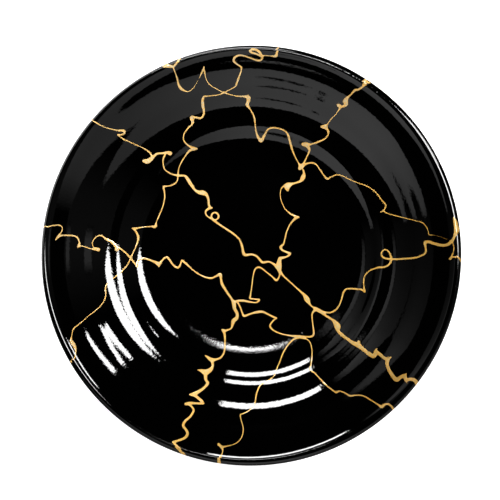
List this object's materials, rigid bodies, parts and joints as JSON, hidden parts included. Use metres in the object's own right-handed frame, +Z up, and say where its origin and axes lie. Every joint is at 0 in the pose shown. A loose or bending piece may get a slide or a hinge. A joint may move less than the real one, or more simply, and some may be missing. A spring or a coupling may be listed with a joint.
{
  "type": "ceramic plate",
  "caption": "Round shallow plate with a flat middle, a stepped well, a wide ringed rim, a rounded upturned lip and a foot ring, glazed gloss black with painted gold crackle lines.",
  "frame": {"origin": "on the table, under the middle of the plate: the centre of the foot ring's underside", "axes": "+Z up, along the plate's axis; +Y towards the picture's top edge"},
  "size_m": [0.27, 0.27, 0.0324],
  "materials": {
    "glaze": "gloss",
    "gold": "satin"
  },
  "bodies": {
    "root": {"plate": "glaze"}
  },
  "joints": []
}
